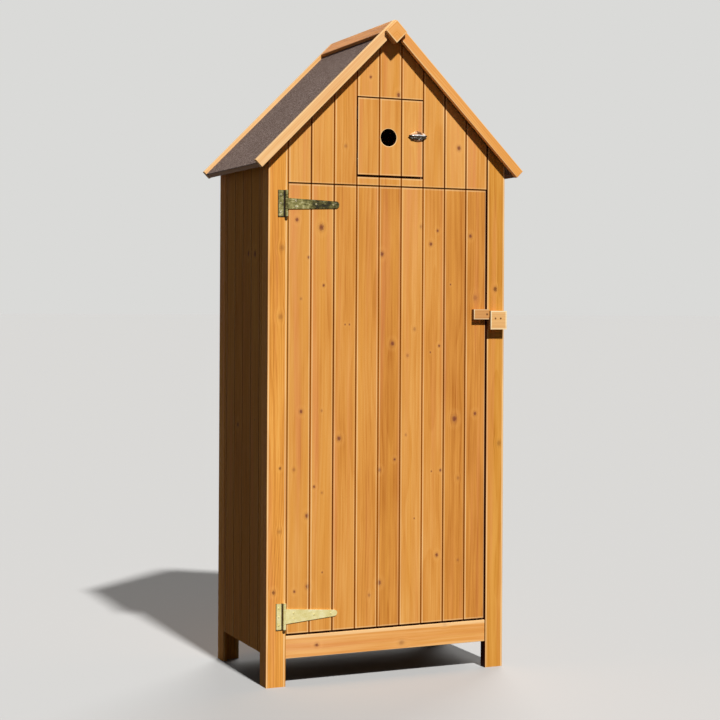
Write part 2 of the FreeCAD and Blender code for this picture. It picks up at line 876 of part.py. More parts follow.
def write_body():
    front_rail, rear_rail = bottom_rails()
    last = flap_first + flap_board_count
    edge = board_gap / 2.0
    save("front_post_left", [front_post(-1)])
    save("front_post_right", [front_post(1)])
    save("rear_post_left", [rear_post(-1)])
    save("rear_post_right", [rear_post(1)])
    save("leg_stiles_left", side_stiles(-1))
    save("leg_stiles_right", side_stiles(1))
    save("bottom_rail_front", [front_rail])
    save("bottom_rail_rear", [rear_rail])
    save("side_boards_left", side_wall(-1))
    save("side_boards_right", side_wall(1))
    save("back_boards", back_wall())
    save("back_battens", back_battens())
    save("side_battens", side_battens())
    save("eave_plates", eave_plates())
    save("floor_boards", floor_slats())
    save("lower_shelf", slats(lower_shelf_level, shelf_front, shelf_back))
    save("upper_shelf", slats(upper_shelf_level, shelf_front, shelf_back))
    save("loft_shelf", slats(loft_level, shelf_front, shelf_back))
    save("header_rail", [header_rail()])
    save("rafters", rafters())
    save("gable_boards_left", gable_side_boards(0, flap_first, edge, edge))
    save("gable_boards_right", gable_side_boards(last, front_boards - last, edge, edge))
    save("gable_boards_middle", gable_middle_boards())
    save("flap_frame", flap_frame())


def write_roof():
    save("roof_panel_left", [roof_panel(-1)])
    save("roof_panel_right", [roof_panel(1)])
    save("roof_felt", [roof_felt()])
    save("front_barge_left", [front_barge(-1)])
    save("front_barge_right", [front_barge(1)])
    save("rear_barges", [rear_barge(-1), rear_barge(1)])
    save("ridge_cap_left", [ridge_cap(-1)])
    save("ridge_cap_right", [ridge_cap(1)])
    save("ridge_block", [ridge_block()])


def write_door():
    boards = door_boards()
    save("door_board_hinge_edge", boards[:1])
    save("door_boards_middle", boards[1:-1])
    save("door_board_latch_edge", boards[-1:])
    save("door_ledges", [door_ledge(level) for level in ledge_levels])
    save("upper_hinge_plate", [hinge_plate(upper_hinge_level, upper_strap_root)])
    save("upper_hinge_strap", [hinge_strap(upper_hinge_level, upper_strap_root, upper_strap_tip)])
    save("lower_hinge_plate", [hinge_plate(lower_hinge_level, lower_strap_root)])
    save("lower_hinge_strap", [hinge_strap(lower_hinge_level, lower_strap_root, lower_strap_tip)])
    save("hinge_pins", [hinge_pin(upper_hinge_level), hinge_pin(lower_hinge_level)])
    save("hinge_plate_screws", leaf_screws(plate_screw_spots(), plate_front))
    save("hinge_strap_screws", leaf_screws(strap_screw_spots(), strap_front))
    save("latch_runner", [latch_runner()])
    save("latch_bar", [latch_bar()])
    save("latch_stop_screw", [latch_stop_screw()])
    save("latch_block", [latch_block()])
    save("latch_block_screws", block_screws())


def write_flap():
    row = flap_boards()
    save("flap_board_left", row[:1])
    save("flap_board_middle", row[1:-1])
    save("flap_board_right", row[-1:])
    save("flap_ledges", flap_ledges())
    fixed_leaves = [flap_hinge_part(level, False) for level in flap_hinge_levels()]
    moving_leaves = [flap_hinge_part(level, True) for level in flap_hinge_levels()]
    pins = [flap_hinge_pin(level) for level in flap_hinge_levels()]
    save("flap_hinge_fixed_leaves", fixed_leaves + pins)
    save("flap_hinge_moving_leaves", moving_leaves)
    save("catch_rose", [catch_rose()])
    save("catch_handle", [catch_handle()])
    save("catch_cam", [catch_cam(), catch_nut()])


os.makedirs("parts", exist_ok=True)
write_body()
write_roof()
write_door()
write_flap()
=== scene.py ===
import math
import bpy
from mathutils import Matrix, Vector


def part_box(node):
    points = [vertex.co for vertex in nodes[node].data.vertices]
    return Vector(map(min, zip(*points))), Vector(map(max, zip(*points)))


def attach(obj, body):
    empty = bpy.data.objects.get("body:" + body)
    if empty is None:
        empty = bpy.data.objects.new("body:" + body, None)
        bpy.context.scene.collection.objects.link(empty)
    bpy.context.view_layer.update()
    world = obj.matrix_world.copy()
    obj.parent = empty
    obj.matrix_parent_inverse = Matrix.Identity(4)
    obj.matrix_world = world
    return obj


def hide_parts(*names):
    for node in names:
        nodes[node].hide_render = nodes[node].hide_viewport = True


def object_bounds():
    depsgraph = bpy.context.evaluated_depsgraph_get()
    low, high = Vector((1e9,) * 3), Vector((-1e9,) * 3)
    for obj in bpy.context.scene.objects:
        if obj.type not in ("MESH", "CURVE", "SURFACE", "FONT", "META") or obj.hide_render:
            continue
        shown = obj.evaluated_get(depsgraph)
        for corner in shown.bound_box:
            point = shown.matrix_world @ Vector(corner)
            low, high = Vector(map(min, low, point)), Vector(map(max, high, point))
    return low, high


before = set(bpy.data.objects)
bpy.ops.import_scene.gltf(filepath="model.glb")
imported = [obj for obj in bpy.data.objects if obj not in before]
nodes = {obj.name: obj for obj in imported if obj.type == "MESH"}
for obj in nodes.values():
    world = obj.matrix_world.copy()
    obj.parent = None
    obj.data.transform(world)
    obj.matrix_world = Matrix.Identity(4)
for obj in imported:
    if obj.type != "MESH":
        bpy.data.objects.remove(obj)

cad_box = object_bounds()

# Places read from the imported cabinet, in metres
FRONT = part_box("door_boards_middle")[0].y
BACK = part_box("back_boards")[1].y
MIDDLE_Y = (FRONT + BACK) / 2.0
OPENING_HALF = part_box("back_boards")[1].x
BODY_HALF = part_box("front_post_right")[1].x
BOARD_COVER = 2.0 * OPENING_HALF / 9.0
FIRST_SEAM = -OPENING_HALF
RIDGE_Z = cad_box[1].z
RAIL_LOW, RAIL_HIGH = [corner.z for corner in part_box("bottom_rail_front")]
DOOR_LOW, DOOR_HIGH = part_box("door_boards_middle")
DOOR_MIDDLE = (DOOR_LOW.z + DOOR_HIGH.z) / 2.0
FLAP_LOW, FLAP_HIGH = [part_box("flap_board_left")[0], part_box("flap_board_right")[1]]
GABLE_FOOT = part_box("gable_boards_middle")[0].z
BLOCK_LOW, BLOCK_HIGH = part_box("latch_block")
BAR_LOW, BAR_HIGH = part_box("latch_bar")
ROSE_LOW, ROSE_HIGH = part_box("catch_rose")
EYE_LOW, EYE_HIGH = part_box("catch_handle")
CATCH = (EYE_LOW + EYE_HIGH) / 2.0
PIN_X = sum(corner.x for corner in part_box("hinge_pins")) / 2.0
RIDGE_LOW, RIDGE_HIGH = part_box("ridge_block")

# Measures that no box gives; SLANT is the sine and the cosine of the roof's 45 degrees
SLANT = math.sqrt(0.5)
RIDGE_PLANED = 0.003
ROOF_TOP = (RIDGE_Z + RIDGE_PLANED) * SLANT
BARGE_WIDTH = 0.025
SILL_HEIGHT = 0.022
FLAP_HEAD_GAP = 0.002
HOLE_X = -0.0055
HOLE_Z = (FLAP_LOW.z + FLAP_HIGH.z) / 2.0 - 0.00075
HOLE_RADIUS = 0.0227
HANDLE_REACH = 0.020
HANDLE_THICK = 0.0038
SILL_TOP = GABLE_FOOT + SILL_HEIGHT
UPPER_FOOT = FLAP_HIGH.z + FLAP_HEAD_GAP
GROOVE_X = PIN_X - 0.0060


# Shader arithmetic

class Wire:
    """An output socket that takes part in arithmetic; each operation adds a Math node."""

    def __init__(self, nodes_of, socket):
        self.nodes_of = nodes_of
        self.socket = socket

    def maths(self, operation, first, second=None):
        inputs = {0: first} if second is None else {0: first, 1: second}
        return self.nodes_of.node("ShaderNodeMath", {"operation": operation}, inputs)

    def __add__(self, other):
        return self.maths("ADD", self, other)

    def __sub__(self, other):
        return self.maths("SUBTRACT", self, other)

    def __mul__(self, other):
        return self.maths("MULTIPLY", self, other)

    def __truediv__(self, other):
        return self.maths("DIVIDE", self, other)

    def __pow__(self, other):
        return self.maths("POWER", self, other)

    def __abs__(self):
        return self.maths("ABSOLUTE", self)

    def sign(self):
        return self.maths("SIGN", self)

    def floor(self):
        return self.maths("FLOOR", self)

    def fraction(self):
        return self.maths("FRACT", self)

    def least(self, other):
        return self.maths("MINIMUM", self, other)

    def most(self, other):
        return self.maths("MAXIMUM", self, other)


class Tree:
    """The nodes of a material or of the world."""

    def __init__(self, tree):
        self.tree = tree

    def join(self, socket, value):
        if isinstance(value, Wire):
            self.tree.links.new(value.socket, socket)
        else:
            socket.default_value = value

    def node(self, kind, settings, inputs, output=0):
        """Adds any node: its settings first, then the values or wires of its inputs."""
        added = self.tree.nodes.new(kind)
        for name, value in settings.items():
            if name == "stops":
                self.set_stops(added.color_ramp, value)
            else:
                setattr(added, name, value)
        for key, value in inputs.items():
            self.join(added.inputs[key], value)
        return Wire(self, added.outputs[output])

    @staticmethod
    def set_stops(ramp, stops):
        while len(ramp.elements) < len(stops):
            ramp.elements.new(1.0)
        for element, (place, color) in zip(ramp.elements, stops):
            element.position = place
            element.color = color

    def seen_share(self):
        """1 for what is seen, straight, mirrored or through glass, and 0 for the light on the cabinet."""
        camera, glossy, through = [self.node("ShaderNodeLightPath", {}, {}, ray) for ray in
                                   ("Is Camera Ray", "Is Glossy Ray", "Is Transmission Ray")]
        return camera.most(glossy).most(through)


class Finish(Tree):
    """A material being put together around its main shader."""

    def __init__(self, name, roughness=0.5, metallic=0.0, **constants):
        self.material = bpy.data.materials.new(name)
        self.material.use_nodes = True
        super().__init__(self.material.node_tree)
        self.shader = self.tree.nodes["Principled BSDF"]
        self.shader.inputs["Roughness"].default_value = roughness
        self.shader.inputs["Metallic"].default_value = metallic
        for socket, value in constants.items():
            self.shader.inputs[socket.replace("_", " ")].default_value = value

    def feed(self, name, value):
        self.join(self.shader.inputs[name], value)

    def place(self, output="Object"):
        return self.node("ShaderNodeTexCoord", {}, {}, output)

    def parts(self, vector):
        return [self.node("ShaderNodeSeparateXYZ", {}, {0: vector}, i) for i in range(3)]

    def vector(self, x, y, z):
        return self.node("ShaderNodeCombineXYZ", {}, {0: x, 1: y, 2: z})

    def noise(self, vector, scale, detail=2.0, roughness=0.5):
        inputs = {"Vector": vector, "Scale": scale, "Detail": detail, "Roughness": roughness}
        return self.node("ShaderNodeTexNoise", {}, inputs, "Fac")

    def chances(self, value):
        """Three random numbers from 0 to 1 for each value."""
        color = self.node("ShaderNodeTexWhiteNoise", {"noise_dimensions": "1D"}, {"W": value}, "Color")
        return self.parts(color)

    def step(self, value, low, high, start=0.0, end=1.0):
        """A smooth step from start to end as the value goes from low to high."""
        inputs = {"Value": value, "From Min": low, "From Max": high, "To Min": start, "To Max": end}
        return self.node("ShaderNodeMapRange", {"interpolation_type": "SMOOTHSTEP"}, inputs)

    def blend(self, share, first, second, blend_type="MIX"):
        """Mixes two colours; a share may be a wire or a number."""
        settings = {"data_type": "RGBA", "blend_type": blend_type}
        return self.node("ShaderNodeMix", settings, {0: share, 6: first, 7: second}, 2)

    def ramp(self, value, *stops):
        return self.node("ShaderNodeValToRGB", {"stops": stops}, {0: value}, "Color")

    def bump(self, height, distance, strength=1.0):
        return self.node("ShaderNodeBump", {}, {"Height": height, "Distance": distance, "Strength": strength})


def rgb(red, green, blue):
    """An sRGB colour from 0 to 255, as the shader's linear colour."""
    def linear(level):
        share = level / 255.0
        return share / 12.92 if share <= 0.04045 else ((share + 0.055) / 1.055) ** 2.4
    return (linear(red), linear(green), linear(blue), 1.0)


def blended(first, second, share):
    """A colour that far from the first to the second."""
    return tuple(a + (b - a) * share for a, b in zip(first, second))


def shade(color, share):
    """The same colour with less or more light."""
    return tuple(level * share for level in color[:3]) + (1.0,)


# Stained pine

# Knots by chance come at most once in each stretch; the spread is that of their radii
STRETCH = 0.37
LEAST_KNOT = 0.0004
KNOT_SPREAD = 0.007

# A knot's height over its width, and how far it pushes the fibres aside
KNOT_RISE = 1.2
KNOT_PUSH = 0.55

# Growth rings, round a heart that lies behind the board
RING_WIDTH = 0.0052
RING_SWAY = 0.02
HEART_SPREAD = 0.07
HEART_WANDER = 0.08
HEART_DEPTH = 0.035
FACE_APART = 0.09

# How far a painted line is from its edge, its half width and the half width of its core
JOINT_HALF, JOINT_CORE = 0.0028, 0.0014
ARRIS_AWAY, ARRIS_HALF, ARRIS_CORE = 0.0043, 0.0019, 0.0008
RIM_AWAY, RIM_HALF, RIM_CORE = 0.0012, 0.0014, 0.0005

# How fine each noise is across and along the grain
FIBRE_GRAIN = (430.0, 9.0)
STREAK_GRAIN = (150.0, 2.2)
CLOUD_GRAIN = (16.0, 3.0)
BLUSH_GRAIN = (38.0, 1.1)
BLUSH_ASIDE = 0.18421
RAGGED_SCALE = 330.0


def span(first, second):
    """The long side over two sides at right angles."""
    return (first * first + second * second) ** 0.5


def grain_lines(finish, way, face):
    """Object coordinates as the places across, into and along the grain, and how far a face is an end."""
    x, y, z = finish.parts(finish.place())
    nx, ny, nz = finish.parts(finish.place("Normal"))
    if way == "slope":
        run = abs(x)
        return (z + run) * SLANT, y - face, (z - run) * SLANT, abs(nz - nx * x.sign()) * SLANT
    if way == "side":
        return y, abs(x) - face, z, abs(nz)
    if way == "rail":
        return z, y - face, x, abs(nx)
    if way == "shelf":
        return y, z - face, x, abs(nx)
    if way == "eave":
        return z, abs(x) - face, y, abs(ny)
    return x, y - face, z, abs(nz)


def pushed_aside(finish, across, beside, reach):
    """The place across the grain, moved where the fibres run round a knot."""
    return across - beside * finish.step(reach, 0.5, 3.4, KNOT_PUSH, 0.0)


def stated_knots(finish, across, along, pushed, knots):
    """How far the nearest knot is, in its own radii, and the grain pushed aside by the knots."""
    nearest = None
    for place, level, radius in knots:
        beside = across - place
        reach = span(beside / radius, (along - level) / (KNOT_RISE * radius))
        pushed = pushed_aside(finish, pushed, beside, reach)
        nearest = reach if nearest is None else nearest.least(reach)
    return nearest, pushed


def scattered_knots(finish, across, along, cover, start, seed, share):
    """The same for knots that are scattered by chance, at most one in each stretch of a board."""
    row = (across - start) / cover
    offset = finish.chances(row.floor() + seed)[0]
    rung = along / STRETCH + offset * 3.0
    first, second, third = finish.chances(row.floor() * 13.7 + rung.floor() * 5.3 + seed)
    beside = (row.fraction() - (first * 0.5 + 0.25)) * cover
    rise = (rung.fraction() - (second * 0.6 + 0.2)) * (STRETCH / 1.3)
    radius = (third - (1.0 - share)).most(0.0) * (KNOT_SPREAD / share) + LEAST_KNOT
    reach = span(beside, rise) / radius
    return reach, pushed_aside(finish, across, beside, reach)


def mark_knots(finish, color, nearest, strength, stain):
    """Paints a faint halo, a pinkish aura and a purple-brown heart, in steps of the knot's own radius."""
    pale, knot_brown = stain[0], stain[3]
    halo = finish.step(nearest, 4.0, 2.4) * finish.step(nearest, 1.3, 2.2)
    color = finish.blend(halo * (0.14 * strength), color, shade(pale, 1.08))
    aura = finish.step(nearest, 2.1, 0.9)
    color = finish.blend(aura * (0.42 * strength), color, blended(knot_brown, pale, 0.5))
    core = finish.step(nearest, 1.2, 0.5)
    color = finish.blend(core * (0.7 * strength), color, knot_brown)
    pith = finish.step(nearest, 0.55, 0.2)
    return finish.blend(pith * (0.3 * strength), color, shade(knot_brown, 0.5))


def late_wood(finish, pushed, deep, along, board_middle, lucks):
    """The dark part of each growth ring, round a heart that wanders behind the board."""
    luck, second, third = lucks
    wander = finish.noise(finish.vector(luck * 40.0, 0.0, along), 0.8, 1.0)
    sway = finish.noise(finish.vector(pushed * 9.0 + luck * 30.0, deep * 9.0, along * 1.3), 1.5, 2.0)
    heart = board_middle + (second - 0.5) * HEART_SPREAD + (wander - 0.5) * HEART_WANDER
    behind = deep + (third * HEART_SPREAD + HEART_DEPTH)
    radius = span(pushed - heart, behind) + (sway - 0.5) * RING_SWAY
    ring = (radius / RING_WIDTH).fraction()
    return finish.step(ring, 0.35, 0.92) * finish.step(ring, 1.0, 0.93)


def drawn_noise(finish, across, deep, along, grain, detail, roughness=0.5):
    """Noise drawn out along the grain; the grain is its fineness across and along."""
    fine, long = grain
    return finish.noise(finish.vector(across * fine, deep * fine, along * long), 1.0, detail, roughness)


def paint_lines(finish, color, wires, lines, core, paint, uneven=1.0):
    """Paints lines that each have an axis, place, width and strength, at full strength in their core."""
    for axis, place, width, strength in lines:
        edge = finish.step(abs(wires[axis] - place), width, width * core)
        color = finish.blend(edge * uneven * strength, color, paint)
    return color


def paint_seams(finish, color, row, cover, seed, depth, uneven):
    """Paints each joint between boards and the pale arrises beside it, wear and painted highlight, some paler
    than others.
    """
    beside = ((row + 0.5).fraction() - 0.5) * cover
    left_luck, right_luck, spare = finish.chances((row + 0.5).floor() * 2.3 + seed + 0.7)
    for side, chance, least in ((1.0, right_luck, 0.4), (-1.0, left_luck, 0.15)):
        edge = finish.step(abs(beside - side * ARRIS_AWAY), ARRIS_HALF, ARRIS_CORE)
        color = finish.blend(edge * uneven * (chance * 0.55 + least), color, BLEACHED_AND_HIGHLIT)
    joint = finish.blend(spare * spare * depth, JOINT_BROWN, JOINT_DARK)
    return finish.blend(finish.step(abs(beside), JOINT_HALF, JOINT_CORE) * 0.95, color, joint)


def paint_hole(finish, color, across, along, hole):
    """Paints the pale rim of a sawn hole, sawn wood and painted highlight, and painted shade inside it."""
    x, z, radius = hole
    reach = span(across - x, along - z)
    rim = finish.step(abs(reach - (radius + RIM_AWAY)), RIM_HALF, RIM_CORE)
    color = finish.blend(rim * 0.85, color, BLEACHED_AND_HIGHLIT)
    return finish.blend(finish.step(reach, radius + 0.0004, radius + 0.0001), color, HOLE_SHADE)


def pine(name, stain, way="up", cover=BOARD_COVER, start=FIRST_SEAM, face=FRONT, seed=0.0, knots=((), ()),
         knot_share=0.45, grain=1.0, tint=0.0, gloss=0.12, seams=False, seam_depth=1.0, worn_and_lit=(), bare_and_lit=None,
         gap_shade=(), hole=None, end_grain_and_shade=0.35, painted_top_shade=0.0):
    """Stained pine, split across its grain into boards that each have their own rings and tone.

    The boards run a way, cover by cover from a start, and show a face. Knots are plain and faint ones at
    stated places; without plain ones, a share of the boards has knots by chance. Lines of wear and painted
    highlight lighten the arrises, bleached or in a given arris colour, and gap shade lines are painted shade
    beside each gap. Sawn ends are darker as end grain and as painted shade where they face a gap or on the
    latch's sides; upward faces get painted shade.
    """
    finish = Finish(name, Specular_IOR_Level=gloss)
    pale, middle, dark = stain[:3]
    across, deep, along, end = grain_lines(finish, way, face)
    wires = {"across": across, "along": along}
    row = (across - start) / cover
    board = row.floor()
    lucks = finish.chances(board * 3.1 + (deep / FACE_APART).floor() * 7.7 + seed)
    luck = lucks[0]
    ragged = (finish.noise(finish.place(), RAGGED_SCALE, 2.0) - 0.5) * 1.1
    plain_knots, faint_knots = knots
    if plain_knots:
        nearest, pushed = stated_knots(finish, across, along, across, plain_knots)
    else:
        nearest, pushed = scattered_knots(finish, across, along, cover, start, seed, knot_share)
    if faint_knots:
        faintest, pushed = stated_knots(finish, across, along, pushed, faint_knots)
    late = late_wood(finish, pushed, deep, along, (board + 0.5) * cover + start, lucks)

    # Fibres, streaks and clouds of stain, long in the grain
    shifted = pushed + luck * 3.0
    fibre = drawn_noise(finish, shifted, deep, along, FIBRE_GRAIN, 3.0, 0.65)
    streak = drawn_noise(finish, shifted, deep, along, STREAK_GRAIN, 3.0, 0.6)
    cloud = drawn_noise(finish, shifted, deep, along + luck * 3.0, CLOUD_GRAIN, 2.0)
    blush = drawn_noise(finish, shifted + BLUSH_ASIDE, deep, along, BLUSH_GRAIN, 2.0)
    tone = (streak - 0.5) * (0.95 * grain) + (fibre - 0.5) * (0.65 * grain) + (cloud - 0.5) * 0.7
    tone = tone + (luck - 0.5) * 0.36 - late * (0.15 * grain) + (0.55 + tint)
    color = finish.ramp(tone, (0.0, dark), (0.5, middle), (1.0, pale))
    color = finish.blend(finish.step(blush, 0.5, 0.72) * 0.5, color, ROSY)
    color = finish.blend(finish.step(blush, 0.46, 0.28) * 0.4, color, GOLDEN)
    color = mark_knots(finish, color, nearest + ragged, 1.0, stain)
    if faint_knots:
        color = mark_knots(finish, color, faintest + ragged, 0.4, stain)

    # Arrises with wear and painted highlight, joints, painted shade beside each gap, on ends and on tops, and
    # the hole
    uneven = finish.step(cloud + (fibre - 0.5) * 0.6, 0.2, 0.75, 0.45, 1.0)
    color = paint_lines(finish, color, wires, worn_and_lit, 0.4, bare_and_lit or BLEACHED_AND_HIGHLIT, uneven)
    if seams:
        color = paint_seams(finish, color, row, cover, seed, seam_depth, uneven)
    # Painted shade beside each gap
    color = paint_lines(finish, color, wires, gap_shade, 0.6, PAINTED_GAP_SHADE)
    # Sawn ends darker: end grain, and painted shade on ends that face a gap and on the latch's sides
    color = finish.blend(finish.step(end, 0.75, 0.95) * end_grain_and_shade, color, shade(dark, 0.3))
    # Painted shade on faces that look upwards
    if painted_top_shade:
        up = finish.parts(finish.place("Normal"))[2]
        color = finish.blend(finish.step(up, 0.6, 0.9) * painted_top_shade, color, shade(dark, 0.3))
    if hole:
        color = paint_hole(finish, color, across, along, hole)
    finish.feed("Base Color", color)
    finish.feed("Roughness", (fibre - 0.5) * 0.3 - late * 0.05 + 0.6)
    finish.feed("Normal", finish.bump(fibre * 0.5 + late * 0.35 + streak * 0.5, 0.0004, 0.5))
    return finish.material


ROSY = rgb(226, 144, 88)
GOLDEN = rgb(228, 158, 66)
# Pale arris colours: wear and painted highlight
BLEACHED_AND_HIGHLIT = rgb(255, 212, 152)
BARE_AND_HIGHLIT_ARRIS = rgb(255, 232, 186)
JOINT_BROWN = rgb(182, 104, 14)
JOINT_DARK = rgb(112, 44, 0)
# Painted shade beside each gap between door, posts, flap and gable
PAINTED_GAP_SHADE = rgb(64, 20, 2)
# Painted shade inside the sawn hole
HOLE_SHADE = rgb(16, 9, 6)
ORANGE_STAIN = (rgb(238, 174, 94), rgb(220, 148, 66), rgb(180, 104, 34), rgb(116, 50, 44))
POST_STAIN = (rgb(252, 188, 100), rgb(236, 162, 73), rgb(198, 120, 44), rgb(126, 70, 40))
GOLD_STAIN = (rgb(230, 164, 76), rgb(213, 143, 55), rgb(180, 108, 36), rgb(112, 60, 34))
RAIL_STAIN = (rgb(246, 186, 114), rgb(230, 158, 82), rgb(198, 120, 52), rgb(120, 58, 44))
PEACH_STAIN = (rgb(254, 212, 156), rgb(246, 192, 128), rgb(220, 154, 92), rgb(150, 84, 48))
AMBER_STAIN = (rgb(250, 188, 112), rgb(236, 160, 80), rgb(202, 122, 50), rgb(130, 66, 34))
BLOCK_STAIN = (rgb(246, 198, 134), rgb(232, 176, 110), rgb(206, 140, 76), rgb(120, 66, 34))
BAR_STAIN = (rgb(234, 180, 116), rgb(217, 156, 92), rgb(184, 116, 60), rgb(120, 66, 34))
CAP_STAIN = (rgb(240, 180, 118), rgb(222, 152, 90), rgb(176, 110, 58), rgb(104, 52, 30))
# Darker tones for the roof boards: painted shade on their undersides and eave edges, which lie in shade
ROOF_PAINTED_SHADE = (rgb(140, 94, 44), rgb(112, 72, 30), rgb(78, 48, 18), rgb(56, 32, 14))
BARE_PINE = (rgb(236, 208, 166), rgb(222, 188, 140), rgb(190, 148, 96), rgb(120, 72, 40))


def felt_finish():
    """Bitumen felt with a face of fine mineral granules."""
    finish = Finish("roofing_felt", roughness=0.95, Specular_IOR_Level=0.03)
    at = finish.place()
    grain_inputs = {"Vector": at, "Scale": 560.0}
    granule, other, depth = finish.parts(finish.node("ShaderNodeTexVoronoi", {}, grain_inputs, "Color"))
    broad = finish.noise(at, 6.0, 3.0)
    fine = finish.noise(at, 430.0, 2.0)
    tone = (granule - 0.5) * 0.9 + (broad - 0.5) * 0.25 + (fine - 0.5) * 0.9 + 0.5
    color = finish.ramp(tone, (0.0, rgb(76, 60, 52)), (0.5, rgb(117, 97, 88)), (1.0, rgb(168, 150, 141)))
    finish.feed("Base Color", color)
    finish.feed("Normal", finish.bump(other + fine, 0.0006, 0.6))
    return finish.material


def tarnished(name, stops, roughness, metallic, patch=60.0, mottle=1.0, fading=None, painted_shade_lines=(), low_stops=None):
    """Plating gone dull in patches, with fine scratches along it.

    A fading strap goes darker from one place to another along it, by a share of its tones. Painted shade
    lines, in the groove by the barrel and along the edges, each have their axis, place, width, strength and
    colour. Low stops are the tones of what is below the door's middle.
    """
    finish = Finish(name, metallic=metallic)
    at = finish.place()
    x, y, z = finish.parts(at)
    broad = finish.noise(at, patch, 4.0, 0.6)
    fine = finish.noise(at, patch * 12.0, 3.0, 0.6)
    scratch = finish.noise(finish.vector(x * 60.0, y * 60.0, z * 700.0), 1.0, 2.0)
    tone = (broad - 0.5) * (1.7 * mottle) + (fine - 0.5) * (0.7 * mottle)
    tone = tone + (scratch - 0.5) * (0.8 * mottle) + 0.5
    if fading:
        start, end, share = fading
        tone = tone - finish.step(x, start, end) * share
    color = finish.ramp(tone, *stops)
    if low_stops:
        level = finish.step(z, DOOR_MIDDLE, DOOR_MIDDLE + 0.01)
        color = finish.blend(level, finish.ramp(tone, *low_stops), color)
    bright = finish.step(scratch + (broad - 0.5) * 0.5, 0.66, 0.76)
    color = finish.blend(bright * (0.55 * mottle), color, rgb(232, 230, 200))
    for axis, place, width, strength, dark in painted_shade_lines:
        line = finish.step(abs((z if axis == "up" else x) - place), width, width * 0.5)
        color = finish.blend(line * strength, color, dark)
    finish.feed("Base Color", color)
    finish.feed("Roughness", (broad - 0.5) * (0.3 * mottle) + roughness)
    finish.feed("Normal", finish.bump(fine, 0.0002, 0.4))
    return finish.material


def chrome_with_painted_reflection():
    """Chrome with painted reflection, bright where it faces up and dark where it faces forward and down, and
    weathered pits.
    """
    finish = Finish("chrome_plate", metallic=0.5)
    at = finish.place()
    up = finish.parts(finish.place("Normal"))[2]
    pits = finish.noise(at, 700.0, 3.0, 0.6)
    clouded = finish.noise(at, 130.0, 2.0)
    # Painted reflection by the way the face turns: up bright, forward and down dark
    tone = up * 0.5 + (clouded - 0.5) * 0.25 + 0.5
    color = finish.ramp(tone, (0.0, rgb(150, 140, 122)), (0.26, rgb(64, 56, 46)), (0.47, rgb(92, 86, 78)),
                        (0.6, rgb(206, 206, 204)), (0.78, rgb(250, 250, 250)))
    color = finish.blend(finish.step(pits, 0.62, 0.72) * 0.35, color, rgb(70, 60, 48))
    finish.feed("Base Color", color)
    finish.feed("Roughness", (clouded - 0.5) * 0.2 + pits * 0.1 + 0.12)
    finish.feed("Normal", finish.bump(pits, 0.0001, 0.3))
    return finish.material


def eye_finish():
    """The eye-shaped plate with painted reflection: wood amber over the cross bar, and nearly black under it
    as painted reflection and painted shadow of the bar, with bright chips.
    """
    finish = Finish("chrome_eye", metallic=0.7)
    at = finish.place()
    x, y, z = finish.parts(at)
    mottled = finish.noise(at, 260.0, 3.0, 0.6)
    half = (EYE_HIGH.z - EYE_LOW.z) / 2.0
    rise = (z - CATCH.z) / (2.0 * half) + 0.5
    # Tones up the plate: painted reflection, with the bar's painted shadow below it
    tone = rise + (mottled - 0.5) * 0.16
    color = finish.ramp(tone, (0.0, rgb(110, 62, 24)), (0.12, rgb(34, 22, 12)), (0.24, rgb(96, 92, 76)),
                        (0.36, rgb(12, 10, 6)), (0.58, rgb(36, 24, 16)), (0.66, rgb(186, 140, 100)),
                        (0.86, rgb(196, 150, 108)), (1.0, rgb(176, 120, 74)))
    chips = finish.step(mottled, 0.56, 0.62) * finish.step(rise, 0.42, 0.34)
    color = finish.blend(chips * 0.9, color, rgb(226, 214, 206))
    # Over the bar, a painted dark reflection in the middle and a painted glint to the right
    upper = finish.step(rise, 0.6, 0.66)
    painted_reflection = finish.step(abs(x - (CATCH.x + 0.004)), 0.008, 0.005) * upper
    color = finish.blend(painted_reflection * 0.85, color, rgb(80, 40, 14))
    glint = finish.step(x - CATCH.x, 0.013, 0.016) * upper
    color = finish.blend(glint * 0.8, color, rgb(236, 226, 212))
    finish.feed("Base Color", color)
    finish.feed("Roughness", (mottled - 0.5) * 0.2 + 0.5)
    finish.feed("Normal", finish.bump(mottled, 0.0001, 0.3))
    return finish.material


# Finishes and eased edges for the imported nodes

FRAME_ARRIS = 0.0008
BOARD_ARRIS = 0.0005
TOUCHING = 0.00001
FLAT_WITHIN = math.radians(1.0)
SHARP_FROM = math.radians(35.0)


def dress(material, *names):
    for name in names:
        mesh = nodes[name].data
        mesh.materials.clear()
        mesh.materials.append(material)


def ease(width, *names):
    """Takes the sharpness off the sawn edges of these nodes."""
    for name in names:
        piece = nodes[name]
        piece.modifiers.new("joined", "WELD").merge_threshold = TOUCHING
        flat = piece.modifiers.new("flat_faces", "DECIMATE")
        flat.decimate_type = "DISSOLVE"
        flat.angle_limit = FLAT_WITHIN
        arris = piece.modifiers.new("arris", "BEVEL")
        arris.width = width
        arris.segments = 2
        arris.limit_method = "ANGLE"
        arris.angle_limit = SHARP_FROM


# Knots across and up the front, or up and across on the rail, with their radii

